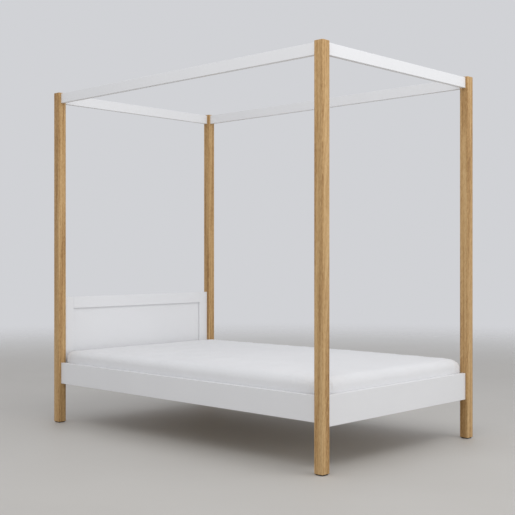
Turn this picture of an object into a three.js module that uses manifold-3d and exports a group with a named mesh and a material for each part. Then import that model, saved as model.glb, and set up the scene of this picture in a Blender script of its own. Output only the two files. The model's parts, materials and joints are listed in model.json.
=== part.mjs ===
// Four poster canopy bed for a 1200 x 2000 mattress, as separate pieces that come apart.
// Millimetres, +Z up. +Y points to the head, and the origin lies on the floor under the middle.
import * as THREE from 'three';
import { mergeVertices } from 'three/addons/utils/BufferGeometryUtils.js';
import Module from 'manifold-3d';

const wasm = await Module();
wasm.setup();

// The mattress sets the width and length of the bed, and the post tops its height.
const MATTRESS_WIDTH = 1200;
const MATTRESS_LENGTH = 2000;
const MATTRESS_THICKNESS = 150;
const MATTRESS_CORNER = 30;
const MATTRESS_EDGE = 28;
const BED_HEIGHT = 1980;

// Room left around the mattress, up to the side rails, the foot rail and the headboard.
const SIDE_GAP = 5;
const FOOT_GAP = 5;
const HEAD_GAP = 22;

// Posts and the glides under them. A step is how far a post stands in past the inner face of a rail.
const POST_SIZE = 52;
const POST_STEP = 12;
const HEAD_POST_STEP = 19;
const POST_EDGE = 2.5;
const GLIDE_SIZE = 42;
const GLIDE_HEIGHT = 5;
const GLIDE_CORNER = 4;

// Rails between the posts.
const RAIL_THICKNESS = 24;
const RAIL_EDGE = 1.5;
const RAIL_TOP = 359;
const SIDE_RAIL_HEIGHT = 124;
const FOOT_RAIL_HEIGHT = 144;
const CANOPY_RAIL_HEIGHT = 57;
const CANOPY_DROP = 5;

// Framed headboard: the panel floats in grooves, back from the front of the frame, with play before it.
const HEADBOARD_TOP = 752;
const HEADBOARD_BOTTOM = 235;
const HEADBOARD_BAND = 70;
const PANEL_THICKNESS = 6;
const PANEL_RECESS = 12;
const PANEL_PLAY = 1.2;
const GROOVE_DEPTH = 8;

// Slats, the tapes that join them, and the ledgers that carry them.
const LEDGER_WIDTH = 25;
const LEDGER_HEIGHT = 28;
const LEDGER_LIFT = 3;
const SLAT_COUNT = 12;
const SLAT_WIDTH = 70;
const SLAT_THICKNESS = 18;
const SLAT_EDGE = 2;
const SLAT_END_MARGIN = 10;
const TAPE_WIDTH = 30;
const TAPE_THICKNESS = 1.2;
const TAPE_INSET = 200;

// Connecting studs, each set in a post and drawn tight by a barrel nut in the rail's end.
const STUD_DIAMETER = 8;
const STUD_CHAMFER = 1;
const STUD_IN_POST = 32;
const STUD_IN_RAIL = 42;
const NUT_DIAMETER = 14;
const NUT_FROM_END = 30;
const NUT_LENGTH = 19;
const NUT_SLOT_WIDTH = 2;
const NUT_SLOT_DEPTH = 1.5;
const SIDE_STUD_BELOW_TOP = 45;
const FOOT_STUD_BELOW_TOP = 95;
const HEADBOARD_STUD_INSET = 120;
const CANOPY_STUD_STEP = 10;
const STUD_SEGMENTS = 12;

// Clearances.
const JOINT_GAP = 0.3;
const BORE_CLEARANCE = 0.3;
const SLAT_CLEARANCE = 3;

const ARC_SEGMENTS = 3;

const COLOURS = {
  oak: { color: 0xb98f5b, roughness: 0.55, metalness: 0 },
  whitePaint: { color: 0xe6e7ea, roughness: 0.4, metalness: 0 },
  pine: { color: 0xd9bd8c, roughness: 0.7, metalness: 0 },
  steel: { color: 0xa6a8ab, roughness: 0.35, metalness: 0.9 },
  blackPlastic: { color: 0x1d1d1e, roughness: 0.6, metalness: 0 },
  webbing: { color: 0xcfcabf, roughness: 0.9, metalness: 0 },
  mattress: { color: 0xe2e3e5, roughness: 0.9, metalness: 0 },
};

const SIDES = { left: -1, right: 1 };
const ENDS = { foot: -1, head: 1 };

const X_AXIS = new THREE.Vector3(1, 0, 0);
const Y_AXIS = new THREE.Vector3(0, 1, 0);
const Z_AXIS = new THREE.Vector3(0, 0, 1);

const bed = new THREE.Group();

// ---- Solids -------------------------------------------------------------------------------

function toSolid(geometry) {
  const bare = geometry.clone();
  bare.deleteAttribute('normal');
  bare.deleteAttribute('uv');
  const merged = mergeVertices(bare, 1e-4);
  return new wasm.Manifold(new wasm.Mesh({
    numProp: 3,
    vertProperties: new Float32Array(merged.attributes.position.array),
    triVerts: new Uint32Array(merged.index.array),
  }));
}

function toGeometry(solid) {
  const mesh = solid.getMesh();
  const geometry = new THREE.BufferGeometry();
  geometry.setAttribute('position', new THREE.BufferAttribute(mesh.vertProperties, 3));
  geometry.setIndex(new THREE.BufferAttribute(mesh.triVerts, 1));
  geometry.computeVertexNormals();
  return geometry;
}

function cut(geometry, cutters) {
  let solid = toSolid(geometry);
  for (const cutter of cutters) solid = solid.subtract(toSolid(cutter));
  return toGeometry(solid);
}

function roundedRectangle(width, height, radius) {
  const x = width / 2;
  const y = height / 2;
  const shape = new THREE.Shape();
  shape.moveTo(-x + radius, -y);
  shape.lineTo(x - radius, -y);
  shape.absarc(x - radius, -y + radius, radius, -Math.PI / 2, 0, false);
  shape.lineTo(x, y - radius);
  shape.absarc(x - radius, y - radius, radius, 0, Math.PI / 2, false);
  shape.lineTo(-x + radius, y);
  shape.absarc(-x + radius, y - radius, radius, Math.PI / 2, Math.PI, false);
  shape.lineTo(-x, -y + radius);
  shape.absarc(-x + radius, -y + radius, radius, Math.PI, Math.PI * 1.5, false);
  return shape;
}

// A bar along Z with eased long edges and square ends, centred on the origin.
function bar(width, height, length, edge) {
  const section = roundedRectangle(width, height, edge);
  const options = { depth: length, bevelEnabled: false, curveSegments: ARC_SEGMENTS };
  return new THREE.ExtrudeGeometry(section, options).translate(0, 0, -length / 2);
}

// A bar along X: its section is thickness along Y by height along Z.
function barAlongX(thickness, height, length, edge) {
  return bar(height, thickness, length, edge).rotateY(Math.PI / 2);
}

// A bar along Y: its section is thickness along X by height along Z.
function barAlongY(thickness, height, length, edge) {
  return bar(thickness, height, length, edge).rotateX(Math.PI / 2);
}

// A block along Z whose ends are eased as well, standing on the origin.
function easedBlock(width, depth, height, corner, edge) {
  const section = roundedRectangle(width - 2 * edge, depth - 2 * edge, corner - edge);
  const options = {
    depth: height - 2 * edge,
    bevelEnabled: true,
    bevelSize: edge,
    bevelThickness: edge,
    bevelSegments: ARC_SEGMENTS,
    curveSegments: ARC_SEGMENTS,
  };
  return new THREE.ExtrudeGeometry(section, options).translate(0, 0, edge);
}

// A cylinder from one point along a direction.
function rod(start, direction, length, radius) {
  const geometry = new THREE.CylinderGeometry(radius, radius, length, STUD_SEGMENTS);
  geometry.translate(0, length / 2, 0);
  geometry.applyQuaternion(new THREE.Quaternion().setFromUnitVectors(Y_AXIS, direction));
  return geometry.translate(start.x, start.y, start.z);
}

function add(name, geometry, colour, position) {
  const mesh = new THREE.Mesh(geometry, new THREE.MeshStandardMaterial(COLOURS[colour]));
  mesh.name = name;
  mesh.position.copy(position);
  bed.add(mesh);
}

// ---- Places -------------------------------------------------------------------------------

const sideRailInsideX = MATTRESS_WIDTH / 2 + SIDE_GAP;
const sideRailX = sideRailInsideX + RAIL_THICKNESS / 2;
const postInsideX = sideRailInsideX - POST_STEP;
const postInsideY = (FOOT_GAP + MATTRESS_LENGTH + HEAD_GAP - POST_STEP - HEAD_POST_STEP) / 2;
const footRailInsideY = -(postInsideY + POST_STEP);
const footRailY = footRailInsideY - RAIL_THICKNESS / 2;
const headPlaneY = postInsideY + HEAD_POST_STEP + RAIL_THICKNESS / 2;
const mattressY = footRailInsideY + FOOT_GAP + MATTRESS_LENGTH / 2;
const railSpanX = 2 * (postInsideX - JOINT_GAP);
const railSpanY = 2 * (postInsideY - JOINT_GAP);
const canopyRailZ = BED_HEIGHT - CANOPY_DROP - CANOPY_RAIL_HEIGHT / 2;

// Each stud starts at a post's inner face and runs into a rail. The pocket is the way its nut
// goes in, from the named face of the rail.
function makeConnectors() {
  const list = [];
  const connect = (name, side, end, alongY, point, pocket, reach) => {
    const into = alongY ? Y_AXIS.clone().multiplyScalar(-end) : X_AXIS.clone().multiplyScalar(-side);
    list.push({ name, side, end, point, into, pocket, reach });
  };
  for (const [sideName, side] of Object.entries(SIDES)) {
    for (const [endName, end] of Object.entries(ENDS)) {
      const inward = X_AXIS.clone().multiplyScalar(-side);
      const canopyUp = canopyRailZ + CANOPY_STUD_STEP;
      const canopyDown = canopyRailZ - CANOPY_STUD_STEP;
      const top = BED_HEIGHT - CANOPY_DROP;
      const endY = end > 0 ? headPlaneY : footRailY;
      connect(`stud_side_rail_${sideName}_${endName}`, side, end, true,
        new THREE.Vector3(side * sideRailX, end * postInsideY, RAIL_TOP - SIDE_STUD_BELOW_TOP),
        inward, RAIL_THICKNESS / 2);
      connect(`stud_canopy_${sideName}_${endName}`, side, end, true,
        new THREE.Vector3(side * sideRailX, end * postInsideY, canopyUp),
        Z_AXIS, top - canopyUp);
      connect(`stud_canopy_${endName}_${sideName}`, side, end, false,
        new THREE.Vector3(side * postInsideX, endY, canopyDown),
        Z_AXIS, top - canopyDown);
    }
    connect(`stud_foot_rail_${sideName}`, side, ENDS.foot, false,
      new THREE.Vector3(side * postInsideX, footRailY, RAIL_TOP - FOOT_STUD_BELOW_TOP),
      Y_AXIS, RAIL_THICKNESS / 2);
    const lower = HEADBOARD_BOTTOM + HEADBOARD_STUD_INSET;
    const upper = HEADBOARD_TOP - HEADBOARD_STUD_INSET;
    for (const [level, z] of Object.entries({ lower, upper })) {
      connect(`stud_headboard_${sideName}_${level}`, side, ENDS.head, false,
        new THREE.Vector3(side * postInsideX, headPlaneY, z),
        Y_AXIS, RAIL_THICKNESS / 2);
    }
  }
  return list;
}

const connectors = makeConnectors();

function connectorsNamed(start) {
  return connectors.filter((connector) => connector.name.startsWith(start));
}

function nutCentre(connector) {
  return connector.point.clone().addScaledVector(connector.into, NUT_FROM_END);
}

// Bores for the studs, in the frame of a piece whose own origin is at the given place.
function studBores(list, place) {
  return list.map(({ point, into }) => {
    const depth = STUD_IN_POST + JOINT_GAP;
    const start = point.clone().addScaledVector(into, -depth).sub(place);
    const length = depth + STUD_IN_RAIL + JOINT_GAP;
    return rod(start, into, length, STUD_DIAMETER / 2 + BORE_CLEARANCE);
  });
}

// Round pockets for the barrel nuts, each open on one face of the rail.
function nutPockets(list, place) {
  return list.map((connector) => {
    const { pocket, reach } = connector;
    const past = 2;
    const start = nutCentre(connector).addScaledVector(pocket, -NUT_LENGTH / 2 - JOINT_GAP).sub(place);
    const length = NUT_LENGTH / 2 + JOINT_GAP + reach + past;
    return rod(start, pocket, length, NUT_DIAMETER / 2 + BORE_CLEARANCE);
  });
}

function bored(geometry, list, place) {
  return cut(geometry, [...studBores(list, place), ...nutPockets(list, place)]);
}

// ---- Pieces -------------------------------------------------------------------------------

function addPosts() {
  for (const [endName, end] of Object.entries(ENDS)) {
    for (const [sideName, side] of Object.entries(SIDES)) {
      const x = side * (postInsideX + POST_SIZE / 2);
      const y = end * (postInsideY + POST_SIZE / 2);
      const place = new THREE.Vector3(x, y, GLIDE_HEIGHT + JOINT_GAP);
      const height = BED_HEIGHT - GLIDE_HEIGHT - JOINT_GAP;
      const block = easedBlock(POST_SIZE, POST_SIZE, height, 2 * POST_EDGE, POST_EDGE);
      const here = connectors.filter((connector) => connector.side === side && connector.end === end);
      add(`post_${endName}_${sideName}`, cut(block, studBores(here, place)), 'oak', place);
      const glide = bar(GLIDE_SIZE, GLIDE_SIZE, GLIDE_HEIGHT, GLIDE_CORNER);
      add(`glide_${endName}_${sideName}`, glide, 'blackPlastic', new THREE.Vector3(x, y, GLIDE_HEIGHT / 2));
    }
  }
}

function addSideRails() {
  for (const [name, side] of Object.entries(SIDES)) {
    const place = new THREE.Vector3(side * sideRailX, 0, RAIL_TOP - SIDE_RAIL_HEIGHT / 2);
    const rail = barAlongY(RAIL_THICKNESS, SIDE_RAIL_HEIGHT, railSpanY, RAIL_EDGE);
    const list = connectorsNamed(`stud_side_rail_${name}`);
    add(`side_rail_${name}`, bored(rail, list, place), 'whitePaint', place);
  }
}

function addFootRail() {
  const place = new THREE.Vector3(0, footRailY, RAIL_TOP - FOOT_RAIL_HEIGHT / 2);
  const rail = barAlongX(RAIL_THICKNESS, FOOT_RAIL_HEIGHT, railSpanX, RAIL_EDGE);
  add('foot_rail', bored(rail, connectorsNamed('stud_foot_rail'), place), 'whitePaint', place);
}

function addCanopyRails() {
  for (const [name, side] of Object.entries(SIDES)) {
    const place = new THREE.Vector3(side * sideRailX, 0, canopyRailZ);
    const rail = barAlongY(RAIL_THICKNESS, CANOPY_RAIL_HEIGHT, railSpanY, RAIL_EDGE);
    const list = connectorsNamed(`stud_canopy_${name}`);
    add(`canopy_rail_${name}`, bored(rail, list, place), 'whitePaint', place);
  }
  for (const [name, end] of Object.entries(ENDS)) {
    const place = new THREE.Vector3(0, end > 0 ? headPlaneY : footRailY, canopyRailZ);
    const rail = barAlongX(RAIL_THICKNESS, CANOPY_RAIL_HEIGHT, railSpanX, RAIL_EDGE);
    const list = connectorsNamed(`stud_canopy_${name}`);
    add(`canopy_rail_${name}`, bored(rail, list, place), 'whitePaint', place);
  }
}

// The stiles run the full height, the two rails fit between them, and the panel fills the middle.
function addHeadboard() {
  const height = HEADBOARD_TOP - HEADBOARD_BOTTOM;
  const middleZ = (HEADBOARD_TOP + HEADBOARD_BOTTOM) / 2;
  const innerWidth = railSpanX - 2 * HEADBOARD_BAND;
  const innerHeight = height - 2 * HEADBOARD_BAND;
  const panelY = headPlaneY - RAIL_THICKNESS / 2 + PANEL_RECESS + PANEL_THICKNESS / 2;
  const panelPlace = new THREE.Vector3(0, panelY, middleZ);

  const grooveFor = (place) => {
    const width = innerWidth + 2 * GROOVE_DEPTH;
    const tall = innerHeight + 2 * GROOVE_DEPTH;
    const groove = new THREE.BoxGeometry(width, PANEL_THICKNESS + PANEL_PLAY + JOINT_GAP, tall);
    groove.translate(0, (JOINT_GAP - PANEL_PLAY) / 2, 0);
    return groove.translate(...panelPlace.clone().sub(place).toArray());
  };

  for (const [name, side] of Object.entries(SIDES)) {
    const place = new THREE.Vector3(side * (railSpanX - HEADBOARD_BAND) / 2, headPlaneY, middleZ);
    const stile = bar(HEADBOARD_BAND, RAIL_THICKNESS, height, RAIL_EDGE);
    const list = connectorsNamed(`stud_headboard_${name}`);
    const cutters = [...studBores(list, place), ...nutPockets(list, place), grooveFor(place)];
    add(`headboard_stile_${name}`, cut(stile, cutters), 'whitePaint', place);
  }

  const railLength = innerWidth - 2 * JOINT_GAP;
  for (const [name, z] of Object.entries({
    top: HEADBOARD_TOP - HEADBOARD_BAND / 2,
    bottom: HEADBOARD_BOTTOM + HEADBOARD_BAND / 2,
  })) {
    const place = new THREE.Vector3(0, headPlaneY, z);
    const rail = barAlongX(RAIL_THICKNESS, HEADBOARD_BAND, railLength, RAIL_EDGE);
    add(`headboard_${name}_rail`, cut(rail, [grooveFor(place)]), 'whitePaint', place);
  }

  const tongue = 2 * (GROOVE_DEPTH - JOINT_GAP);
  const panel = new THREE.BoxGeometry(innerWidth + tongue, PANEL_THICKNESS, innerHeight + tongue);
  add('headboard_panel', panel, 'whitePaint', panelPlace);
}

function addStuds() {
  const length = STUD_IN_POST + STUD_IN_RAIL;
  const radius = STUD_DIAMETER / 2;
  const profile = [
    new THREE.Vector2(0, 0),
    new THREE.Vector2(radius - STUD_CHAMFER, 0),
    new THREE.Vector2(radius, STUD_CHAMFER),
    new THREE.Vector2(radius, length - STUD_CHAMFER),
    new THREE.Vector2(radius - STUD_CHAMFER, length),
    new THREE.Vector2(0, length),
  ];
  for (const { name, point, into } of connectors) {
    const stud = new THREE.LatheGeometry(profile, STUD_SEGMENTS);
    stud.applyQuaternion(new THREE.Quaternion().setFromUnitVectors(Y_AXIS, into));
    add(name, stud, 'steel', point.clone().addScaledVector(into, -STUD_IN_POST));
  }
}

// A barrel nut lies across its stud, with a driver slot in the end that shows.
function addSideRailNuts() {
  for (const connector of connectorsNamed('stud_side_rail')) {
    const { name, into, pocket } = connector;
    const place = nutCentre(connector);
    const start = pocket.clone().multiplyScalar(-NUT_LENGTH / 2);
    const body = rod(start, pocket, NUT_LENGTH, NUT_DIAMETER / 2);
    const boreStart = into.clone().multiplyScalar(-NUT_DIAMETER);
    const bore = rod(boreStart, into, 2 * NUT_DIAMETER, STUD_DIAMETER / 2 + BORE_CLEARANCE);
    const slot = new THREE.BoxGeometry(2 * NUT_SLOT_DEPTH, 2 * NUT_DIAMETER, NUT_SLOT_WIDTH);
    slot.translate(...pocket.clone().multiplyScalar(NUT_LENGTH / 2).toArray());
    add(name.replace('stud', 'barrel_nut'), cut(body, [bore, slot]), 'steel', place);
  }
}

function addSleepingBase() {
  const ledgerX = sideRailInsideX - LEDGER_WIDTH / 2 - JOINT_GAP;
  const ledgerBottom = RAIL_TOP - SIDE_RAIL_HEIGHT + LEDGER_LIFT;
  const slatBottom = ledgerBottom + LEDGER_HEIGHT + JOINT_GAP;
  const tapeBottom = slatBottom + SLAT_THICKNESS + JOINT_GAP;
  const mattressBottom = tapeBottom + TAPE_THICKNESS + JOINT_GAP;

  for (const [name, side] of Object.entries(SIDES)) {
    const place = new THREE.Vector3(side * ledgerX, 0, ledgerBottom + LEDGER_HEIGHT / 2);
    const ledger = barAlongY(LEDGER_WIDTH, LEDGER_HEIGHT, railSpanY, RAIL_EDGE);
    add(`slat_ledger_${name}`, ledger, 'whitePaint', place);
  }

  const slatLength = 2 * (sideRailInsideX - SLAT_CLEARANCE);
  const firstSlat = -(postInsideY - SLAT_END_MARGIN - SLAT_WIDTH / 2);
  const slatPitch = -2 * firstSlat / (SLAT_COUNT - 1);
  for (let index = 0; index < SLAT_COUNT; index += 1) {
    const y = firstSlat + index * slatPitch;
    const place = new THREE.Vector3(0, y, slatBottom + SLAT_THICKNESS / 2);
    const slat = barAlongX(SLAT_WIDTH, SLAT_THICKNESS, slatLength, SLAT_EDGE);
    add(`slat_${String(index + 1).padStart(2, '0')}`, slat, 'pine', place);
  }

  const tapeLength = SLAT_WIDTH - 2 * firstSlat;
  for (const [name, side] of Object.entries(SIDES)) {
    const x = side * (slatLength / 2 - TAPE_INSET);
    const tape = new THREE.BoxGeometry(TAPE_WIDTH, tapeLength, TAPE_THICKNESS);
    add(`slat_tape_${name}`, tape, 'webbing', new THREE.Vector3(x, 0, tapeBottom + TAPE_THICKNESS / 2));
  }

  const mattress = easedBlock(
    MATTRESS_WIDTH, MATTRESS_LENGTH, MATTRESS_THICKNESS, MATTRESS_CORNER, MATTRESS_EDGE);
  add('mattress', mattress, 'mattress', new THREE.Vector3(0, mattressY, mattressBottom));
}

addPosts();
addSideRails();
addFootRail();
addCanopyRails();
addHeadboard();
addStuds();
addSideRailNuts();
addSleepingBase();

export default bed;
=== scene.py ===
"""Looks for the four poster canopy bed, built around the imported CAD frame. Metres, +Z up, +Y to the head."""
import json
import math

import bmesh
import bpy
import numpy as np
from mathutils import Matrix, Vector
from mathutils.bvhtree import BVHTree

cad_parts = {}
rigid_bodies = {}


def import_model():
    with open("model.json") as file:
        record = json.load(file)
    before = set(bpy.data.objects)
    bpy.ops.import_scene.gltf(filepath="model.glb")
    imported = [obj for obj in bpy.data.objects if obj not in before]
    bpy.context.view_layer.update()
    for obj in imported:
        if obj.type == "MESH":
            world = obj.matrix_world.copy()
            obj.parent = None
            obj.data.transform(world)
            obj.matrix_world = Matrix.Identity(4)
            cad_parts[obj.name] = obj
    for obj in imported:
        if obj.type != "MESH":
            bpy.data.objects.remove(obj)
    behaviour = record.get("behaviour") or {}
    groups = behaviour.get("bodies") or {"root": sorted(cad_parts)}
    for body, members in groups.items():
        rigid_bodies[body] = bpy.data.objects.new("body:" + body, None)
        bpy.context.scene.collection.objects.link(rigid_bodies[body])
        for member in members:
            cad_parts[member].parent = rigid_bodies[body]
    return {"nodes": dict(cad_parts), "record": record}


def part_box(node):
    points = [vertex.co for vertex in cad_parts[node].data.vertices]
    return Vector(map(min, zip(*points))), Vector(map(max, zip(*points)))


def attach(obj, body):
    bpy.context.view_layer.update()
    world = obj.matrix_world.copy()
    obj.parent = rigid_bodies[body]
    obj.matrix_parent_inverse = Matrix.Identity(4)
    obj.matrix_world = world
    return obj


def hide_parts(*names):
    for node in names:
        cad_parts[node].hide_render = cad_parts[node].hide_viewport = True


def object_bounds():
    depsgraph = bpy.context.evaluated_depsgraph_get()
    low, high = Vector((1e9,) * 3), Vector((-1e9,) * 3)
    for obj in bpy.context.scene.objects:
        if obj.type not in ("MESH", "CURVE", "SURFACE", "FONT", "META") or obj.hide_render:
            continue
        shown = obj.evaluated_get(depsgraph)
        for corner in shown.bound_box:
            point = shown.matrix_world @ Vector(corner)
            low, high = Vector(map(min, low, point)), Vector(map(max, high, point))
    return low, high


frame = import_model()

CAD_LOW, CAD_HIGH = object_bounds()
NODES = frame["nodes"]
SIDES = ("left", "right")
ENDS = ("foot", "head")

# Mattress: its corners in plan, the roll of its edges, how it swells, and how it fits in its space
PLAN_CORNER = 0.027
EDGE_ROLL = 0.046
HEAD_ROLL = 0.033
HEAD_SINK = 0.006
SIDE_BULGE = 0.0048
SWELL_RUN = 0.12
TOP_CROWN = 0.0045
SHEET_INSET = (0.0010, 0.0010, 0.0015)
CORE_INSET = (0.0024, 0.0024, 0.0020)
CORE_TIGHTER = 0.002
CORE_LIFT = 0.0005
SIT = -0.0012
SIDE_CLEAR = 0.0009
UNDER_CLEAR = 0.0004

# Mesh steps: fine in a band along the edges, coarse along X and Y between the bands
EDGE_BAND = 0.090
CORE_STEP = 0.010
CORE_COARSE = (0.020, 0.020)
SHEET_STEP = 0.006
SHEET_COARSE = (0.017, 0.009)

# Fitted sheet
SHEET_THICKNESS = 0.0008
SHEET_UNDER = 0.085
HEM_BAND = 0.020
SHEET_CLEAR = 0.0013
SHEET_OFF_CORE = 0.0004
SHEET_EASE = 0.0015
SHEET_SEED = 11
PUCKER_HEIGHT = 0.0022
PUCKER_DIP = 0.0009
PUCKER_PITCHES = (0.034, 0.058)
PUCKER_REACH = 0.26
PUCKER_LEVEL = 0.50
PUCKER_SPREAD = 0.32
PUCKER_BEND = 0.010
CREASE_PITCH = 0.165
CREASE_HEIGHT = 0.0030
CREASE_RISE = 0.009
CREASE_FALL = 0.045
CREASE_FROM_EDGE = 0.10
SLACK_SHARE = 0.22
DRAPE_FRAMES = 16
DRAPE_TRAVEL = 0.004

# Patterns in the materials
RINGS_A_METRE = 150.0
TAPE_THREAD = 0.0022
KNIT_PITCH = 0.0030
QUILT_PITCH = 0.110

# Studio
FLOOR_SOLID = 3.4
FLOOR_GONE = 9.5
BACKDROP_COLOUR = (0.657, 0.665, 0.692, 1.0)
BACKDROP_STRENGTH = 0.97
EYE_AZIMUTH = 46.42
EYE_DISTANCE = 5.524
EYE_SIDE_STEP = 0.022
EYE_HEIGHT = 0.9905
LENS = 67.05
SENSOR_WIDTH = 36.0

# Hardware
NUT_RADIUS = 0.007
NUT_LENGTH = 0.019
NUT_EDGE = 0.0006
NUT_SLOT = (0.02, 0.0018, 0.0036)
NUT_FROM_END = 0.0297
END_NUT_SINK = 0.0025
CANOPY_NUT_SINK = 0.0035
NUT_TURN = 0.4
CANOPY_NUT_TURN = 0.9
TURN_SEED = 5
SCREW_PITCH = 0.24
SCREW_HEAD = ((0, -0.0040), (0.0016, -0.0036), (0.0040, -0.0008),
              (0.0041, 0.0001), (0.0036, 0.0004), (0, 0.0004))
STAR_LOBES = 6
STAR_REACH = 0.00175
STAR_WAVE = 0.00035
STAR_DEPTH = 0.0022
STAPLE_SPAN = 0.011
STAPLE_WIRE = 0.0005
STAPLE_TURN = 0.12
STAPLE_STEP = 0.018
STAPLE_BITE = 0.0006


# ---- Materials ----------------------------------------------------------------------------

class Shader:
    """A node material under construction: a Principled shader and short calls to add nodes to it."""

    def __init__(self, name):
        self.material = bpy.data.materials.new(name)
        self.material.use_nodes = True
        self.tree = self.material.node_tree
        self.principled = self.tree.nodes["Principled BSDF"]

    def node(self, kind, settings=None, **inputs):
        made = self.tree.nodes.new(kind)
        for key, value in (settings or {}).items():
            setattr(made, key, value)
        for key, value in inputs.items():
            self.feed(made.inputs[key.replace("_", " ")], value)
        return made

    def feed(self, socket, value):
        if isinstance(value, bpy.types.NodeSocket):
            self.tree.links.new(value, socket)
        else:
            socket.default_value = value

    def math(self, operation, first, second=0.0):
        made = self.node("ShaderNodeMath", {"operation": operation})
        self.feed(made.inputs[0], first)
        self.feed(made.inputs[1], second)
        return made.outputs[0]

    def vector_math(self, operation, first, second):
        made = self.node("ShaderNodeVectorMath", {"operation": operation})
        self.feed(made.inputs[0], first)
        self.feed(made.inputs[1], second)
        return made.outputs[0]

    def place(self, location=(0, 0, 0), rotation=(0, 0, 0), scale=(1, 1, 1)):
        coordinates = self.node("ShaderNodeTexCoord").outputs["Object"]
        return self.node("ShaderNodeMapping", Vector=coordinates, Location=location,
                         Rotation=rotation, Scale=scale).outputs[0]

    def noise(self, vector, scale, detail=2.0, roughness=0.5, distortion=0.0):
        return self.node("ShaderNodeTexNoise", Vector=vector, Scale=scale, Detail=detail,
                         Roughness=roughness, Distortion=distortion).outputs["Fac"]

    def ramp(self, factor, *stops):
        made = self.node("ShaderNodeValToRGB", Fac=factor)
        band = made.color_ramp
        while len(band.elements) < len(stops):
            band.elements.new(0.5)
        for element, (position, colour) in zip(band.elements, stops):
            element.position = position
            element.color = (*colour, 1.0) if len(colour) == 3 else (colour[0],) * 3 + (1.0,)
        return made.outputs["Color"]

    def mix(self, factor, first, second, blend="MIX"):
        made = self.node("ShaderNodeMix", {"data_type": "RGBA", "blend_type": blend})
        self.feed(made.inputs["Factor"], factor)
        self.feed(made.inputs["A"], first if isinstance(first, bpy.types.NodeSocket) else (*first, 1.0))
        self.feed(made.inputs["B"], second if isinstance(second, bpy.types.NodeSocket) else (*second, 1.0))
        return made.outputs["Result"]

    def map_range(self, value, low, high, new_low, new_high, interpolation="LINEAR"):
        made = self.node("ShaderNodeMapRange", {"interpolation_type": interpolation}, Value=value)
        for key, number in zip(("From Min", "From Max", "To Min", "To Max"), (low, high, new_low, new_high)):
            made.inputs[key].default_value = number
        return made.outputs["Result"]

    def bump(self, height, strength, distance, normal=None):
        made = self.node("ShaderNodeBump", Height=height, Strength=strength, Distance=distance)
        if normal is not None:
            self.feed(made.inputs["Normal"], normal)
        return made.outputs["Normal"]

    def finish(self, **inputs):
        for key, value in inputs.items():
            if isinstance(value, tuple) and len(value) == 3:
                value = (*value, 1.0)
            self.feed(self.principled.inputs[key.replace("_", " ")], value)
        return self.material


def oak_material():
    """Oiled oak, sawn so that the growth rings run up the post as wandering streaks."""
    s = Shader("oiled_oak")
    wander = s.noise(s.place(scale=(7, 7, 1.1)), 1.0, 2.0)
    shift = s.math("MULTIPLY", s.math("SUBTRACT", wander, 0.5), 0.075)
    pith = s.place(location=(0.13, -0.21, 0), rotation=(0.012, -0.016, 0))
    axes = s.node("ShaderNodeSeparateXYZ", Vector=pith)
    across = s.node("ShaderNodeCombineXYZ", X=axes.outputs[0], Y=axes.outputs[1], Z=0.0).outputs[0]
    length = s.node("ShaderNodeVectorMath", {"operation": "LENGTH"}, Vector=across).outputs["Value"]
    rings = s.math("FRACT", s.math("MULTIPLY", s.math("ADD", length, shift), RINGS_A_METRE))
    late_wood = s.ramp(rings, (0.0, (0.0,)), (0.12, (1.0,)), (0.55, (0.80,)), (0.92, (0.22,)), (1.0, (0.0,)))
    fibre = s.noise(s.place(scale=(420, 420, 7)), 1.0, 3.0, 0.6)
    mottle = s.noise(s.place(scale=(210, 210, 60)), 1.0, 2.0)
    streak = s.map_range(s.noise(s.place(scale=(52, 52, 1.3)), 1.0, 3.0, 0.55), 0.34, 0.62, 0.0, 1.0)
    board = s.map_range(s.noise(s.place(scale=(15, 15, 0.5)), 1.0, 1.0), 0.3, 0.7, 0.0, 1.0)
    tone = s.math("ADD", s.math("MULTIPLY", late_wood, 0.19), s.math("MULTIPLY", streak, 0.33))
    tone = s.math("ADD", tone, s.math("MULTIPLY", board, 0.13))
    tone = s.math("ADD", tone, s.math("MULTIPLY", s.map_range(fibre, 0.3, 0.7, 0.0, 1.0), 0.18))
    tone = s.math("ADD", tone, s.math("MULTIPLY", s.map_range(mottle, 0.32, 0.68, 0.0, 1.0), 0.20))
    wood = s.ramp(tone, (0.16, (0.215, 0.100, 0.031)), (0.39, (0.375, 0.206, 0.074)),
                  (0.60, (0.525, 0.325, 0.138)), (0.88, (0.665, 0.452, 0.220)))
    pore_field = s.noise(s.place(scale=(1500, 1500, 42)), 1.0, 1.0)
    pores = s.node("ShaderNodeMapRange", Value=pore_field)
    s.feed(pores.inputs["From Min"], s.map_range(rings, 0.0, 0.4, 0.60, 0.69))
    pores.inputs["From Max"].default_value = 0.78
    wood = s.mix(s.math("MULTIPLY", pores.outputs["Result"], 0.6), wood, (0.17, 0.085, 0.035))
    flecks = s.noise(s.place(scale=(230, 45, 28)), 1.0, 1.0)
    wood = s.mix(s.map_range(flecks, 0.66, 0.76, 0.0, 0.25), wood, (0.66, 0.46, 0.24))
    open_pores = s.math("MULTIPLY", pores.outputs["Result"], 0.8)
    grain = s.math("SUBTRACT", s.math("MULTIPLY", fibre, 0.6), open_pores)
    return s.finish(Base_Color=wood, Roughness=s.map_range(fibre, 0.3, 0.7, 0.48, 0.62),
                    Normal=s.bump(grain, 0.35, 0.0004), Specular_IOR_Level=0.32)


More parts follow.
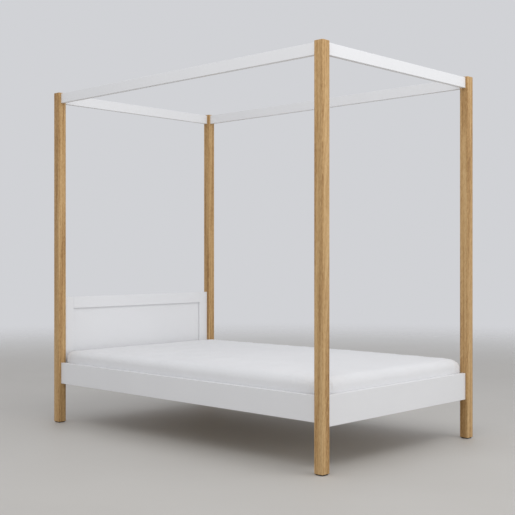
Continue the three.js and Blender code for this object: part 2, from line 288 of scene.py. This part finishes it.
def paint_material():
    """Satin white paint, sprayed: a trace of the timber's grain under a fine peel."""
    s = Shader("satin_white_paint")
    cloud = s.noise(s.place(), 3.0, 2.0)
    colour = s.ramp(cloud, (0.35, (0.808, 0.810, 0.818)), (0.65, (0.822, 0.824, 0.832)))
    peel = s.noise(s.place(), 650.0, 2.0)
    telegraph = s.noise(s.place(scale=(18, 18, 260)), 1.0, 3.0)
    normal = s.bump(telegraph, 0.02, 0.0003)
    normal = s.bump(peel, 0.06, 0.0002, normal)
    rough = s.map_range(peel, 0.3, 0.7, 0.34, 0.42)
    return s.finish(Base_Color=colour, Roughness=rough, Normal=normal, Specular_IOR_Level=0.45)


def pine_material():
    """Planed pine for the slats, grain along X, with an occasional knot."""
    s = Shader("planed_pine")
    warp = s.noise(s.place(scale=(1.5, 14, 14)), 1.0, 2.0)
    bands = s.place(scale=(0.8, 85, 85))
    aside = s.node("ShaderNodeCombineXYZ", X=0.0, Y=s.math("MULTIPLY", warp, 5.0), Z=0.0).outputs[0]
    bent = s.vector_math("ADD", bands, aside)
    rings = s.noise(bent, 1.0, 2.0, 0.5)
    fibre = s.noise(s.place(scale=(9, 520, 520)), 1.0, 3.0)
    tone = s.math("ADD", s.math("MULTIPLY", rings, 0.7), s.math("MULTIPLY", fibre, 0.35))
    wood = s.ramp(tone, (0.36, (0.49, 0.30, 0.13)), (0.52, (0.66, 0.47, 0.26)), (0.72, (0.76, 0.59, 0.36)))
    knots = s.node("ShaderNodeTexVoronoi", Vector=s.place(scale=(2.6, 7, 5)), Scale=1.0).outputs["Distance"]
    wood = s.mix(s.map_range(knots, 0.035, 0.085, 0.75, 0.0), wood, (0.24, 0.11, 0.045))
    return s.finish(Base_Color=wood, Roughness=s.map_range(fibre, 0.3, 0.7, 0.58, 0.72),
                    Normal=s.bump(fibre, 0.25, 0.0004))


def zinc_material():
    """Zinc plated steel with a faint mottled passivation."""
    s = Shader("zinc_plated_steel")
    mottle = s.noise(s.place(), 180.0, 3.0)
    colour = s.ramp(mottle, (0.35, (0.52, 0.53, 0.55)), (0.65, (0.66, 0.67, 0.68)))
    return s.finish(Base_Color=colour, Metallic=1.0, Roughness=s.map_range(mottle, 0.3, 0.7, 0.26, 0.42),
                    Normal=s.bump(s.noise(s.place(), 1400.0), 0.06, 0.0001))


def glide_material():
    """Moulded black plastic with a fine spark-eroded grain."""
    s = Shader("moulded_black_plastic")
    grain = s.noise(s.place(), 1600.0, 2.0)
    colour = s.ramp(grain, (0.3, (0.014, 0.014, 0.015)), (0.7, (0.026, 0.026, 0.028)))
    return s.finish(Base_Color=colour, Roughness=s.map_range(grain, 0.3, 0.7, 0.5, 0.66),
                    Normal=s.bump(grain, 0.25, 0.0002))


def weave(s, pitch):
    """Over-and-under threads along X and Y, as a height from 0 to 1."""
    parts = s.node("ShaderNodeSeparateXYZ", Vector=s.place())
    turns = 2 * math.pi / pitch
    first, second = (s.math("SINE", s.math("MULTIPLY", parts.outputs[axis], turns)) for axis in ("X", "Y"))
    over = s.math("MULTIPLY", first, second)
    return s.math("MULTIPLY_ADD", over, 0.5)


def webbing_material():
    """Woven cotton tape."""
    s = Shader("woven_cotton_tape")
    threads = weave(s, TAPE_THREAD)
    tint = s.noise(s.place(), 260.0, 2.0)
    colour = s.ramp(tint, (0.3, (0.54, 0.50, 0.42)), (0.7, (0.66, 0.62, 0.54)))
    return s.finish(Base_Color=colour, Roughness=0.88, Normal=s.bump(threads, 0.6, 0.0004), Sheen_Weight=0.2)


def sheet_material():
    """Smooth white percale: a tight plain weave with faint slubs, a little rumpled."""
    s = Shader("white_percale_sheet")
    cloud = s.noise(s.place(), 5.0, 3.0)
    colour = s.ramp(cloud, (0.3, (0.768, 0.770, 0.778)), (0.7, (0.790, 0.791, 0.798)))
    slub = s.noise(s.place(scale=(40, 900, 900)), 1.0, 2.0)
    threads = s.noise(s.place(), 1300.0, 2.0)
    rumple = s.noise(s.place(scale=(3.0, 15, 15)), 1.0, 3.0, 0.45, 0.6)
    normal = s.bump(rumple, 0.20, 0.004)
    normal = s.bump(slub, 0.10, 0.0003, normal)
    normal = s.bump(threads, 0.28, 0.00025, normal)
    return s.finish(Base_Color=colour, Roughness=0.86, Normal=normal, Sheen_Weight=0.16, Sheen_Roughness=0.45)


def ticking_material():
    """Knitted mattress ticking with a small quilted relief."""
    s = Shader("knitted_ticking")
    knit = weave(s, KNIT_PITCH)
    quilt = weave(s, QUILT_PITCH)
    tint = s.noise(s.place(), 30.0, 2.0)
    colour = s.ramp(tint, (0.3, (0.70, 0.69, 0.66)), (0.7, (0.77, 0.76, 0.73)))
    normal = s.bump(quilt, 0.5, 0.006)
    normal = s.bump(knit, 0.5, 0.0005, normal)
    return s.finish(Base_Color=colour, Roughness=0.9, Normal=normal, Sheen_Weight=0.25)


MATERIALS = {
    "oak": oak_material(),
    "white_paint": paint_material(),
    "pine": pine_material(),
    "steel": zinc_material(),
    "black_plastic": glide_material(),
    "webbing": webbing_material(),
    "mattress_cover": sheet_material(),
}
TICKING = ticking_material()


def finish_cad_nodes():
    """Gives every CAD node the material of its slot in the record."""
    for part in frame["record"]["subparts"]:
        mesh = NODES[part["node"]].data
        mesh.materials.clear()
        mesh.materials.append(MATERIALS[part["material_slot"]])


# ---- Meshes and Geometry Nodes ------------------------------------------------------------

def new_piece(name, vertices, faces, material, smooth=True):
    """A mesh object at the origin, linked into the scene."""
    mesh = bpy.data.meshes.new(name)
    mesh.from_pydata([tuple(v) for v in vertices], [], [tuple(f) for f in faces])
    mesh.materials.append(material)
    piece = bpy.data.objects.new(name, mesh)
    bpy.context.scene.collection.objects.link(piece)
    for polygon in mesh.polygons:
        polygon.use_smooth = smooth
    return piece


def baked(piece):
    """Turns the evaluated piece into a plain mesh with no modifiers on it."""
    evaluated = piece.evaluated_get(bpy.context.evaluated_depsgraph_get())
    mesh = bpy.data.meshes.new_from_object(evaluated)
    mesh.name = piece.name
    piece.modifiers.clear()
    piece.data = mesh
    return piece


def instancing_tree(name, material):
    """A tree that sets a copy of one small part on every vertex of the mesh that it is given."""
    tree = bpy.data.node_groups.new(name, "GeometryNodeTree")
    face = tree.interface
    face.new_socket("Places", in_out="INPUT", socket_type="NodeSocketGeometry")
    face.new_socket("Part", in_out="INPUT", socket_type="NodeSocketObject")
    face.new_socket("Turn", in_out="INPUT", socket_type="NodeSocketVector")
    face.new_socket("Turn Variation", in_out="INPUT", socket_type="NodeSocketFloat")
    face.new_socket("Result", in_out="OUTPUT", socket_type="NodeSocketGeometry")
    nodes, link = tree.nodes, tree.links.new
    entry = nodes.new("NodeGroupInput")
    leave = nodes.new("NodeGroupOutput")
    info = nodes.new("GeometryNodeObjectInfo")
    chance = nodes.new("FunctionNodeRandomValue")
    chance.data_type = "FLOAT"
    chance.inputs["Seed"].default_value = TURN_SEED
    negative = nodes.new("ShaderNodeMath")
    negative.operation = "MULTIPLY"
    negative.inputs[1].default_value = -1.0
    spin = nodes.new("ShaderNodeCombineXYZ")
    place = nodes.new("GeometryNodeInstanceOnPoints")
    turn = nodes.new("GeometryNodeRotateInstances")
    real = nodes.new("GeometryNodeRealizeInstances")
    paint = nodes.new("GeometryNodeSetMaterial")
    paint.inputs["Material"].default_value = material
    link(entry.outputs["Part"], info.inputs["Object"])
    link(entry.outputs["Turn Variation"], negative.inputs[0])
    link(negative.outputs[0], chance.inputs[2])
    link(entry.outputs["Turn Variation"], chance.inputs[3])
    link(chance.outputs[1], spin.inputs["Z"])
    link(entry.outputs["Places"], place.inputs["Points"])
    link(info.outputs["Geometry"], place.inputs["Instance"])
    link(entry.outputs["Turn"], place.inputs["Rotation"])
    link(place.outputs["Instances"], turn.inputs["Instances"])
    link(spin.outputs[0], turn.inputs["Rotation"])
    link(turn.outputs["Instances"], real.inputs["Geometry"])
    link(real.outputs["Geometry"], paint.inputs["Geometry"])
    link(paint.outputs["Geometry"], leave.inputs["Result"])
    return tree


def set_of_parts(name, part, places, turn, body, material, variation=0.0):
    """One piece made of a small part repeated at each place, turned so that its +Z faces outwards."""
    piece = new_piece(name, places, [], material)
    tree = instancing_tree(name + "_tree", material)
    modifier = piece.modifiers.new("repeat", "NODES")
    modifier.node_group = tree
    values = {"Part": part, "Turn": turn, "Turn Variation": variation}
    for item in tree.interface.items_tree:
        if item.in_out == "INPUT" and item.name in values:
            modifier[item.identifier] = values[item.name]
    baked(piece)
    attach(piece, body)
    return piece


def turned_part(name, profile, sides=24):
    """A small turned part about Z, from (radius, height) points that start and end on the axis."""
    mesh = bmesh.new()
    rings = []
    for radius, height in profile:
        if radius == 0:
            rings.append([mesh.verts.new((0, 0, height))])
        else:
            angles = (2 * math.pi * i / sides for i in range(sides))
            places = ((radius * math.cos(a), radius * math.sin(a), height) for a in angles)
            rings.append([mesh.verts.new(place) for place in places])
    for low, high in zip(rings, rings[1:]):
        for i in range(sides):
            j = (i + 1) % sides
            corners = [low[i % len(low)], low[j % len(low)], high[j % len(high)], high[i % len(high)]]
            mesh.faces.new(list(dict.fromkeys(corners)))
    bmesh.ops.recalc_face_normals(mesh, faces=mesh.faces)
    data = bpy.data.meshes.new(name)
    mesh.to_mesh(data)
    mesh.free()
    return bpy.data.objects.new(name, data)


def cut_recess(part, cutter):
    """Cuts a driver recess into a small part, and gives back the cut part."""
    scene = bpy.context.scene.collection.objects
    scene.link(part)
    scene.link(cutter)
    modifier = part.modifiers.new("recess", "BOOLEAN")
    modifier.object = cutter
    modifier.solver = "MANIFOLD"
    modifier.operation = "DIFFERENCE"
    baked(part)
    scene.unlink(part)
    scene.unlink(cutter)
    bpy.data.objects.remove(cutter)
    return part


def block(name, size):
    """A plain box about the origin."""
    mesh = bmesh.new()
    bmesh.ops.create_cube(mesh, size=1.0, matrix=Matrix.Diagonal((*size, 1.0)))
    data = bpy.data.meshes.new(name)
    mesh.to_mesh(data)
    mesh.free()
    return bpy.data.objects.new(name, data)


# ---- Hardware -----------------------------------------------------------------------------

def slotted_nut():
    """A barrel nut about Z with its slotted end at the origin."""
    flat = NUT_RADIUS - NUT_EDGE
    profile = [(0, -NUT_LENGTH), (flat, -NUT_LENGTH), (NUT_RADIUS, NUT_EDGE - NUT_LENGTH),
               (NUT_RADIUS, -NUT_EDGE), (flat, 0), (0, 0)]
    return cut_recess(turned_part("barrel_nut", profile), block("nut_slot", NUT_SLOT))


def countersunk_screw():
    """The head of a countersunk screw, flush with the timber, with a star recess."""
    head = turned_part("screw_head", SCREW_HEAD)
    outline = []
    for i in range(4 * STAR_LOBES):
        angle = 2 * math.pi * i / (4 * STAR_LOBES)
        reach = STAR_REACH + STAR_WAVE * math.cos(STAR_LOBES * angle)
        outline.append((reach * math.cos(angle), reach * math.sin(angle)))
    mesh = bmesh.new()
    floor = mesh.faces.new([mesh.verts.new((x, y, -STAR_DEPTH)) for x, y in outline])
    raised = bmesh.ops.extrude_face_region(mesh, geom=[floor])
    top = [v for v in raised["geom"] if isinstance(v, bmesh.types.BMVert)]
    bmesh.ops.translate(mesh, vec=(0, 0, 0.004), verts=top)
    bmesh.ops.recalc_face_normals(mesh, faces=mesh.faces)
    data = bpy.data.meshes.new("star_recess")
    mesh.to_mesh(data)
    mesh.free()
    return cut_recess(head, bpy.data.objects.new("star_recess", data))


def nut_place(stud, rail, face):
    """Where the barrel nut of a stud meets its rail's face, at the set distance in from the rail's end."""
    low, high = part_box(stud)
    rail_low, rail_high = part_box(rail)
    middle = (low + high) / 2
    along = max(range(3), key=lambda i: high[i] - low[i])
    inward = -1 if middle[along] > 0 else 1
    rail_end = rail_high[along] if middle[along] > 0 else rail_low[along]
    place = Vector(middle)
    place[along] = rail_end + inward * NUT_FROM_END
    axis, sign = face
    place[axis] = (rail_high if sign > 0 else rail_low)[axis]
    return place


def add_barrel_nuts():
    """The nuts of the foot rail and headboard face the head end, and those of the canopy face up."""
    nut = slotted_nut()
    ends = [nut_place(f"stud_foot_rail_{side}", "foot_rail", (1, 1)) for side in SIDES]
    ends += [nut_place(f"stud_headboard_{side}_{level}", f"headboard_stile_{side}", (1, 1))
             for side in SIDES for level in ("lower", "upper")]
    set_of_parts("end_rail_barrel_nuts", nut, [p - Vector((0, END_NUT_SINK, 0)) for p in ends],
                 (-math.pi / 2, 0, 0), "frame", MATERIALS["steel"], NUT_TURN)
    tops = []
    for side in SIDES:
        for end in ENDS:
            tops.append(nut_place(f"stud_canopy_{side}_{end}", f"canopy_rail_{side}", (2, 1)))
            tops.append(nut_place(f"stud_canopy_{end}_{side}", f"canopy_rail_{end}", (2, 1)))
    set_of_parts("canopy_barrel_nuts", nut, [p - Vector((0, 0, CANOPY_NUT_SINK)) for p in tops],
                 (0, 0, 0), "frame", MATERIALS["steel"], CANOPY_NUT_TURN)
    bpy.data.objects.remove(nut)


def add_ledger_screws():
    """Countersunk screws that hold each ledger to its side rail."""
    screw = countersunk_screw()
    for side, sign in zip(SIDES, (-1, 1)):
        low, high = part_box(f"slat_ledger_{side}")
        face_x = high.x if sign < 0 else low.x
        count = int((high.y - low.y) / SCREW_PITCH)
        start = (low.y + high.y - (count - 1) * SCREW_PITCH) / 2
        places = [Vector((face_x, start + i * SCREW_PITCH, (low.z + high.z) / 2)) for i in range(count)]
        set_of_parts(f"ledger_screws_{side}", screw, places, (0, -sign * math.pi / 2, 0), "frame",
                     MATERIALS["steel"], math.pi)
    bpy.data.objects.remove(screw)


def staple():
    """The crown of a wire staple, with its legs turned down into the wood."""
    half = STAPLE_SPAN / 2
    left = [(-half, -0.003), (-half, 0.0003), (-half + 0.0008, 0.0009)]
    path = left + [(-x, z) for x, z in reversed(left)]
    mesh = bmesh.new()
    rings = []
    for i, (x, z) in enumerate(path):
        before = Vector(path[max(i - 1, 0)])
        after = Vector(path[min(i + 1, len(path) - 1)])
        along = (after - before).normalized()
        side = Vector((-along.y, along.x))
        ring = []
        for k in range(6):
            angle = 2 * math.pi * k / 6
            out = side * (STAPLE_WIRE * math.cos(angle))
            ring.append(mesh.verts.new((x + out.x, STAPLE_WIRE * math.sin(angle), z + out.y)))
        rings.append(ring)
    for first, second in zip(rings, rings[1:]):
        for k in range(6):
            mesh.faces.new((first[k], first[(k + 1) % 6], second[(k + 1) % 6], second[k]))
    mesh.faces.new(rings[0])
    mesh.faces.new(list(reversed(rings[-1])))
    bmesh.ops.recalc_face_normals(mesh, faces=mesh.faces)
    data = bpy.data.meshes.new("staple")
    mesh.to_mesh(data)
    mesh.free()
    return bpy.data.objects.new("staple", data)


def add_tape_staples():
    """Two staples hold each tape to each slat."""
    part = staple()
    slats = sorted(name for name in NODES if name.startswith("slat_") and name[5:].isdigit())
    places = []
    for side in SIDES:
        tape_low, tape_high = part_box(f"slat_tape_{side}")
        middle_x = (tape_low.x + tape_high.x) / 2
        for name in slats:
            low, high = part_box(name)
            for step in (-STAPLE_STEP, STAPLE_STEP):
                places.append(Vector((middle_x, (low.y + high.y) / 2 + step, tape_high.z - STAPLE_BITE)))
    set_of_parts("tape_staples", part, places, (0, 0, 0), "slat_base", MATERIALS["steel"],
                 STAPLE_TURN)
    bpy.data.objects.remove(part)


# ---- Mattress and fitted sheet --------------------------------------------------------------

def graded(half, band, fine, coarse):
    """Places from -half to half that lie close together in a band at either end."""
    near = np.linspace(-half, band - half, round(band / fine) + 1)
    middle = np.linspace(band - half, half - band, round(2 * (half - band) / coarse) + 1)
    return np.concatenate([near, middle[1:-1], -near[::-1]])


def block_skin(half, fine, coarse, keep_under=None):
    """Points and quads on the surface of a block. With keep_under, the underside is open further in."""
    lines = [graded(half[0], EDGE_BAND, fine, coarse[0]), graded(half[1], EDGE_BAND, fine, coarse[1]),
             np.linspace(-half[2], half[2], round(2 * half[2] / fine) + 1)]
    index = {}
    points = []
    faces = []

    def corner(key):
        if key not in index:
            index[key] = len(points)
            points.append([lines[i][key[i]] for i in range(3)])
        return index[key]

    for axis in range(3):
        u, v = (axis + 1) % 3, (axis + 2) % 3
        for side in (0, len(lines[axis]) - 1):
            for a in range(len(lines[u]) - 1):
                for b in range(len(lines[v]) - 1):
                    if keep_under and axis == 2 and side == 0:
                        middle = [(lines[i][n] + lines[i][n + 1]) / 2 for i, n in ((u, a), (v, b))]
                        if min(half[0] - abs(middle[0]), half[1] - abs(middle[1])) > keep_under:
                            continue
                    loop = []
                    for step_a, step_b in ((0, 0), (1, 0), (1, 1), (0, 1)):
                        key = [0, 0, 0]
                        key[axis], key[u], key[v] = side, a + step_a, b + step_b
                        loop.append(corner(tuple(key)))
                    faces.append(loop if side else loop[::-1])
    return np.array(points), faces


def smooth_step(value):
    """A soft ramp from 0 to 1."""
    value = np.clip(value, 0, 1)
    return value ** 2 * (3 - 2 * value)


def plump(points, half, corner, rolls, bulge, crown):
    """Moves a block's surface on to one with rounded corners, rolled edges, swelling sides and a crowned top.

    Every level of the roll keeps the same corner radius in plan. The roll is tighter, and the top a
    little lower, towards the head."""
    to_head = smooth_step((points[:, 1] / half[1] + 0.4) / 1.3)
    roll = rolls[0] + (rolls[1] - rolls[0]) * to_head
    gap = half[:2] - np.abs(points[:, :2])
    depth = gap.min(axis=1)
    along = gap.max(axis=1) - depth
    radius = corner * np.clip(2 - depth / roll, 1e-6, 1)
    turn = np.clip(1 - along / radius, 0, 1) * math.pi / 4
    inward = radius * (1 - np.cos(turn))
    along_new = np.where(along < radius, radius * (1 - np.sin(turn)), along)

    across = np.clip(roll - depth, 0, roll)
    up = np.clip(np.abs(points[:, 2]) - (half[2] - roll), 0, roll)
    on_top = up >= across
    angle = np.where(on_top, across, up) / roll * math.pi / 4
    rolled_across = roll * np.where(on_top, np.sin(angle), np.cos(angle))
    rolled_up = roll * np.where(on_top, np.cos(angle), np.sin(angle))
    in_roll = (across > 0) & (up > 0)
    rolled = np.where(in_roll, roll - rolled_across, depth)
    height = np.where(in_roll, half[2] - roll + rolled_up, np.abs(points[:, 2])) * np.sign(points[:, 2])

    from_corner = smooth_step((along - corner) / SWELL_RUN)
    swell = bulge * (1 - (height / half[2]) ** 2) * np.clip(1 - rolled / roll, 0, 1) * from_corner
    gap_out = rolled - swell + inward
    gap_along = depth + along_new + (rolled - depth) * (1 - from_corner)

    x_is_nearer = gap[:, 0] <= gap[:, 1]
    gap_x = np.where(x_is_nearer, gap_out, gap_along)
    gap_y = np.where(x_is_nearer, gap_along, gap_out)
    x = np.sign(points[:, 0]) * (half[0] - gap_x)
    y = np.sign(points[:, 1]) * (half[1] - gap_y)
    share = np.clip(1 - (x / half[0]) ** 4, 0, 1) * np.clip(1 - (y / half[1]) ** 4, 0, 1)
    z = height + np.where(height > 0, crown * share, 0)
    z -= HEAD_SINK * to_head * (z + half[2]) / (2 * half[2])
    return np.column_stack([x, y, z])


def waves(points, pitch, seed, terms=9):
    """A smooth random field over points, made of a few sine waves of about the given pitch."""
    generator = np.random.default_rng(seed)
    total = np.zeros(len(points))
    for _ in range(terms):
        direction = generator.normal(size=3)
        direction /= np.linalg.norm(direction)
        length = pitch * generator.uniform(0.7, 1.5)
        total += np.sin(points @ direction * 2 * math.pi / length + generator.uniform(0, 2 * math.pi))
    return total / math.sqrt(terms)


def drape(sheet, core, hem_group):
    """Lets the sheet, cut a little large, settle on the mattress while the elastic holds its hem."""
    scene = bpy.context.scene
    core.modifiers.new("collision", "COLLISION")
    core.collision.thickness_outer = SHEET_CLEAR
    core.collision.cloth_friction = 12.0
    cloth = sheet.modifiers.new("cloth", "CLOTH")
    settings = cloth.settings
    settings.quality = 4
    settings.mass = 0.2
    settings.tension_stiffness = 10.0
    settings.compression_stiffness = 10.0
    settings.shear_stiffness = 3.0
    settings.bending_stiffness = 0.3
    settings.air_damping = 3.0
    settings.shrink_min = -SHEET_EASE
    settings.vertex_group_mass = hem_group
    cloth.collision_settings.distance_min = SHEET_CLEAR
    cloth.collision_settings.use_self_collision = False
    cloth.point_cache.frame_start = 1
    cloth.point_cache.frame_end = DRAPE_FRAMES
    for number in range(1, DRAPE_FRAMES + 1):
        scene.frame_set(number)
    evaluated = sheet.evaluated_get(bpy.context.evaluated_depsgraph_get())
    settled = np.empty(len(sheet.data.vertices) * 3)
    evaluated.data.vertices.foreach_get("co", settled)
    scene.frame_set(1)
    sheet.modifiers.clear()
    core.modifiers.clear()
    return settled.reshape(-1, 3)


def puckers(points, half):
    """How far the gathers stand out at the sides: most on the rolled edge near a corner."""
    to_corner = np.hypot(half[0] - np.abs(points[:, 0]), half[1] - np.abs(points[:, 1]))
    near = np.exp(-(to_corner / PUCKER_REACH) ** 2)
    level = points[:, 2] / half[2]
    on_roll = np.exp(-((level - PUCKER_LEVEL) / PUCKER_SPREAD) ** 2)
    on_long_side = half[0] - np.abs(points[:, 0]) < half[1] - np.abs(points[:, 1])
    run = np.where(on_long_side, points[:, 1], points[:, 0])
    bend = waves(points * np.array([1, 1, 0.35]), 0.20, SHEET_SEED) * PUCKER_BEND
    fine, broad = (2 * math.pi / pitch for pitch in PUCKER_PITCHES)
    folds = 0.6 * np.cos((run + bend) * fine) + 0.4 * np.cos((run - bend) * broad)
    patchy = np.clip(waves(points, 0.15, SHEET_SEED + 1) + 0.7, 0.4, 1.4)
    height = PUCKER_HEIGHT * folds * (0.22 + near) * (0.18 + on_roll) * patchy * (level < 0.96)
    return np.maximum(height, PUCKER_DIP * np.tanh(height / PUCKER_DIP))


def creases(points, half):
    """How far the top stands up along the last of its pressed folds and in the slack between them."""
    drift = waves(points * np.array([1, 0.3, 0]), 0.9, SHEET_SEED + 2) * 0.10
    past_fold = ((points[:, 1] / CREASE_PITCH + drift) % 1.0 - 0.5) * CREASE_PITCH
    ridge = np.where(past_fold < 0, np.exp(-(past_fold / CREASE_RISE) ** 2), np.exp(-past_fold / CREASE_FALL))
    shown = np.clip(waves(points * np.array([1, 1, 0]), 0.8, SHEET_SEED + 3) + 0.55, 0, 1.2)
    slack = waves(points * np.array([0.45, 1, 0]), 0.15, SHEET_SEED + 4)
    from_edge = np.min(half[:2] - np.abs(points[:, :2]), axis=1)
    on_top = np.clip(from_edge / CREASE_FROM_EDGE, 0, 1) * (points[:, 2] > 0)
    return CREASE_HEIGHT * on_top * (ridge * shown + SLACK_SHARE * (slack + 0.8))


def outward_from(points, half):
    """The direction out of the nearer side of the block, turned round at the corners."""
    inner = np.clip(points[:, :2], -(half[:2] - PLAN_CORNER), half[:2] - PLAN_CORNER)
    out = points[:, :2] - inner
    length = np.maximum(np.linalg.norm(out, axis=1), 1e-9)
    return np.column_stack([out / length[:, None], np.zeros(len(points))])


def kept_clear(points, core, clearance):
    """Moves each point that comes closer to the core than this back out along the core's own normal."""
    corners = [vertex.co for vertex in core.data.vertices]
    surface = BVHTree.FromPolygons(corners, [polygon.vertices[:] for polygon in core.data.polygons])
    for i, point in enumerate(points):
        place, normal, _, _ = surface.find_nearest(Vector(point))
        short = clearance - (Vector(point) - place).dot(normal)
        if short > 0:
            points[i] += short * np.array(normal)
    return points


def mattress_core(centre, half):
    """The ticking-covered block inside the sheet."""
    points, faces = block_skin(half, CORE_STEP, CORE_COARSE)
    rolls = (EDGE_ROLL - CORE_TIGHTER, HEAD_ROLL - CORE_TIGHTER)
    points = plump(points, half, PLAN_CORNER - CORE_TIGHTER, rolls, SIDE_BULGE, TOP_CROWN)
    return new_piece("mattress_core", points + centre + np.array([0, 0, SIT + CORE_LIFT]), faces, TICKING)


def fitted_sheet(core, centre, half, outer):
    """One sheet over the top and sides and a little way under, with its hem held by elastic."""
    points, faces = block_skin(half, SHEET_STEP, SHEET_COARSE, SHEET_UNDER)
    flat_gap = np.min(half[:2] - np.abs(points[:, :2]), axis=1)
    underneath = points[:, 2] < SHEET_STEP / 2 - half[2]
    at_hem = underneath & (flat_gap > SHEET_UNDER - HEM_BAND)
    form = plump(points, half, PLAN_CORNER, (EDGE_ROLL, HEAD_ROLL), SIDE_BULGE, TOP_CROWN)
    form += centre + np.array([0, 0, SIT])
    sheet = new_piece("fitted_sheet", form, faces, MATERIALS["mattress_cover"])
    sheet.vertex_groups.new(name="hem").add([int(i) for i in np.flatnonzero(at_hem)], 1.0, "REPLACE")

    settled = drape(sheet, core, "hem")
    travel = settled - form
    distance = np.maximum(np.linalg.norm(travel, axis=1), 1e-9)
    local = form + travel * np.minimum(1.0, DRAPE_TRAVEL / distance)[:, None] - centre
    local = local + outward_from(local, half) * puckers(local, half)[:, None]
    local[:, 2] += creases(local, half)
    local = kept_clear(local + centre, core, SHEET_THICKNESS + SHEET_OFF_CORE) - centre
    reach = outer[:2] + SIDE_BULGE - SIDE_CLEAR
    local[:, :2] = np.clip(local[:, :2], -reach, reach)
    local[:, 2] = np.maximum(local[:, 2], UNDER_CLEAR - outer[2])
    sheet.data.vertices.foreach_set("co", (local + centre).ravel())
    sheet.data.update()
    sheet.vertex_groups.clear()
    cloth = sheet.modifiers.new("thickness", "SOLIDIFY")
    cloth.thickness = SHEET_THICKNESS
    cloth.offset = -1.0
    return baked(sheet)


def add_mattress():
    """The padded core, which replaces the plain solid, and the fitted sheet stretched over it."""
    low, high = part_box("mattress")
    centre = np.array((low + high) / 2)
    outer = np.array((high - low) / 2)
    half = outer - np.array(SHEET_INSET)
    core = mattress_core(centre, half - np.array(CORE_INSET))
    sheet = fitted_sheet(core, centre, half, outer)
    for piece in (core, sheet):
        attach(piece, "mattress")
    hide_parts("mattress")


# ---- Stage, light and camera ----------------------------------------------------------------

def add_stage():
    """A plain pale floor that fades into the backdrop well beyond the bed."""
    s = Shader("pale_floor")
    cloud = s.noise(s.place(), 1.4, 3.0)
    colour = s.ramp(cloud, (0.3, (0.545, 0.525, 0.490)), (0.7, (0.565, 0.545, 0.510)))
    s.finish(Base_Color=colour, Roughness=0.6)
    axes = s.node("ShaderNodeSeparateXYZ", Vector=s.place())
    flat = s.node("ShaderNodeCombineXYZ", X=axes.outputs[0], Y=axes.outputs[1], Z=0.0).outputs[0]
    away = s.node("ShaderNodeVectorMath", {"operation": "LENGTH"}, Vector=flat).outputs["Value"]
    s.feed(s.principled.inputs["Alpha"], s.map_range(away, FLOOR_SOLID, FLOOR_GONE, 1.0, 0.0, "SMOOTHSTEP"))
    size = FLOOR_GONE + 1.0
    corners = [(-size, -size, 0), (size, -size, 0), (size, size, 0), (-size, size, 0)]
    floor = new_piece("studio_floor", corners, [(0, 1, 2, 3)], s.material, smooth=False)

    world = bpy.data.worlds.new("studio")
    world.use_nodes = True
    bpy.context.scene.world = world
    background = world.node_tree.nodes["Background"]
    background.inputs["Color"].default_value = BACKDROP_COLOUR
    background.inputs["Strength"].default_value = BACKDROP_STRENGTH


def add_area_light(name, place, size, power):
    """A rectangular light, aimed at the middle of the bed and not seen itself."""
    light = bpy.data.lights.new(name, "AREA")
    light.shape = "RECTANGLE"
    light.size, light.size_y = size
    light.energy = power
    lamp = bpy.data.objects.new(name, light)
    target = Vector((0, 0, CAD_HIGH.z / 2))
    lamp.location = place
    lamp.rotation_euler = (target - Vector(place)).to_track_quat("-Z", "Y").to_euler()
    lamp.visible_camera = False
    bpy.context.scene.collection.objects.link(lamp)


def add_lights():
    """A broad light in front and three smaller ones overhead."""
    add_area_light("front", (0.8, -6.5, 1.6), (4.0, 2.0), 43)
    add_area_light("over_left_side", (-2.4, -1.6, 3.5), (2.0, 2.0), 26)
    add_area_light("over_foot_end", (0.2, -3.0, 3.7), (2.5, 1.5), 30)
    add_area_light("over_head_left", (-2.3, 0.9, 3.3), (2.0, 2.0), 4)


def add_camera():
    """A level camera in front of the bed, to the left of its foot end."""
    azimuth = math.radians(EYE_AZIMUTH)
    forward = Vector((math.sin(azimuth), math.cos(azimuth), 0))
    right = Vector((math.cos(azimuth), -math.sin(azimuth), 0))
    camera = bpy.data.cameras.new("camera")
    camera.sensor_width = SENSOR_WIDTH
    camera.lens = LENS
    eye = bpy.data.objects.new("camera", camera)
    eye.location = -forward * EYE_DISTANCE + right * EYE_SIDE_STEP + Vector((0, 0, EYE_HEIGHT))
    eye.rotation_euler = forward.to_track_quat("-Z", "Y").to_euler()
    bpy.context.scene.collection.objects.link(eye)
    bpy.context.scene.camera = eye
    bpy.context.scene.view_settings.view_transform = "Standard"


add_stage()
add_lights()
add_camera()
finish_cad_nodes()
add_barrel_nuts()
add_ledger_screws()
add_tape_staples()
add_mattress()
